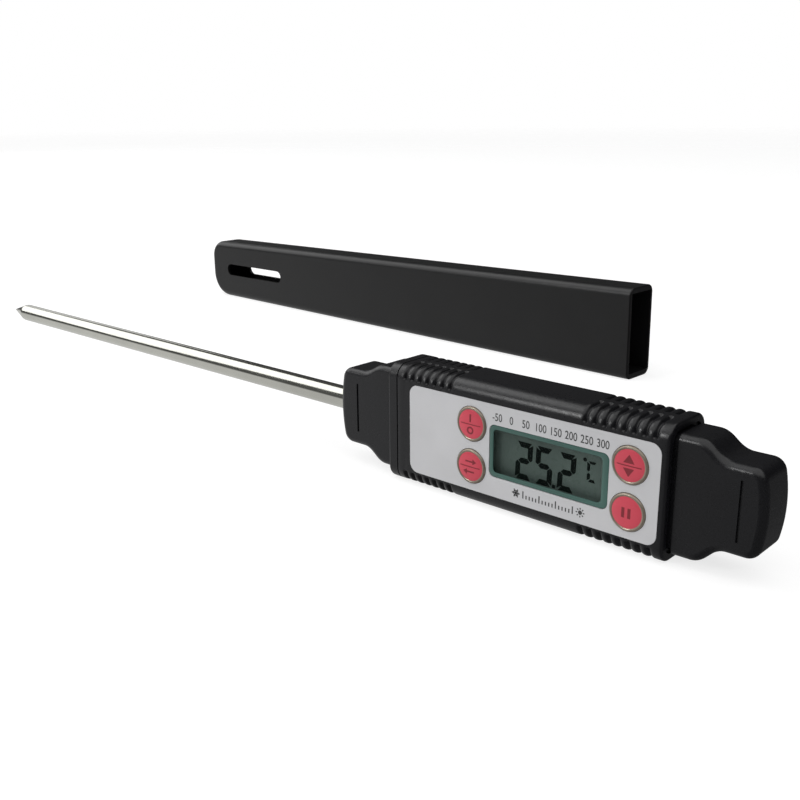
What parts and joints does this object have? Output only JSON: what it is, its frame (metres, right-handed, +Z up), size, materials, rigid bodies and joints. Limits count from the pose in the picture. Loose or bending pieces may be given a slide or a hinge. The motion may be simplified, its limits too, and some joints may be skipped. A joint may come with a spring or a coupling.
{
  "type": "digital probe thermometer",
  "caption": "Pen-type digital thermometer with a pointed steel probe, ribbed body, display, push buttons, pull-out battery cap and a slotted sheath.",
  "frame": {"origin": "on the probe's axis, at the nose end face that the probe comes out of", "axes": "+X along the probe from tip to tail, -Y the way the display faces, +Z up across the body's height"},
  "size_m": [0.2214, 0.0943, 0.0209],
  "materials": {
    "black_case": "fine satin moulded ABS",
    "black_sheath": "fine satin moulded ABS",
    "probe_steel": "polished stainless",
    "silver_label": "satin silver print",
    "clear_window": "clear acrylic",
    "lcd": "grey-green reflective display",
    "red_key": "satin red",
    "white_plastic": "matt",
    "switch_black": "matt",
    "board_green": "solder mask",
    "strip_rubber": "layered silicone",
    "resin": "glossy resin",
    "metal_small": "tinned",
    "chip_body": "matt",
    "lead_insulation": "enamel",
    "cell_steel": "bright nickel"
  },
  "bodies": {
    "base": {"probe_tube": "probe_steel", "nose_piece": "black_case", "potting_plug": "resin", "thermistor_bead": "resin", "thermistor_leads": "lead_insulation", "housing_sleeve": "black_case", "label_panel": "silver_label", "window_lens": "clear_window", "lcd_glass": "lcd", "lcd_holder": "white_plastic", "connector_strips": "strip_rubber", "circuit_board": "board_green", "board_screws": "metal_small", "chip_blob": "resin", "chip_components": "chip_body", "crystal_can": "metal_small", "negative_contact": "metal_small", "positive_contact": "metal_small", "on_off_switch": "switch_black", "unit_switch": "switch_black", "max_min_switch": "switch_black", "hold_switch": "switch_black"},
    "on_off_key": {"on_off_button": "red_key", "on_off_plunger": "white_plastic"},
    "unit_key": {"unit_button": "red_key", "unit_plunger": "white_plastic"},
    "max_min_key": {"max_min_button": "red_key", "max_min_plunger": "white_plastic"},
    "hold_key": {"hold_button": "red_key", "hold_plunger": "white_plastic"},
    "battery_drawer": {"tail_cap": "black_case", "button_cell": "cell_steel"},
    "sheath_body": {"sheath": "black_sheath"}
  },
  "joints": [
    {"name": "on_off_press", "type": "slide", "parent": "base", "child": "on_off_key", "axis": [0, 1, 0], "range_m": [0, 0.0004], "stiffness_N_per_m": 1500},
    {"name": "unit_press", "type": "slide", "parent": "base", "child": "unit_key", "axis": [0, 1, 0], "range_m": [0, 0.0004], "stiffness_N_per_m": 1500},
    {"name": "max_min_press", "type": "slide", "parent": "base", "child": "max_min_key", "axis": [0, 1, 0], "range_m": [0, 0.0004], "stiffness_N_per_m": 1500},
    {"name": "hold_press", "type": "slide", "parent": "base", "child": "hold_key", "axis": [0, 1, 0], "range_m": [0, 0.0004], "stiffness_N_per_m": 1500},
    {"name": "drawer_pull", "type": "slide", "parent": "base", "child": "battery_drawer", "axis": [1, 0, 0], "range_m": [0, 0.016]},
    {"name": "sheath_draw", "type": "slide", "parent": "base", "child": "sheath_body", "axis": [0.9993, -0.0384, 0], "range_m": [-0.136, 0]}
  ]
}
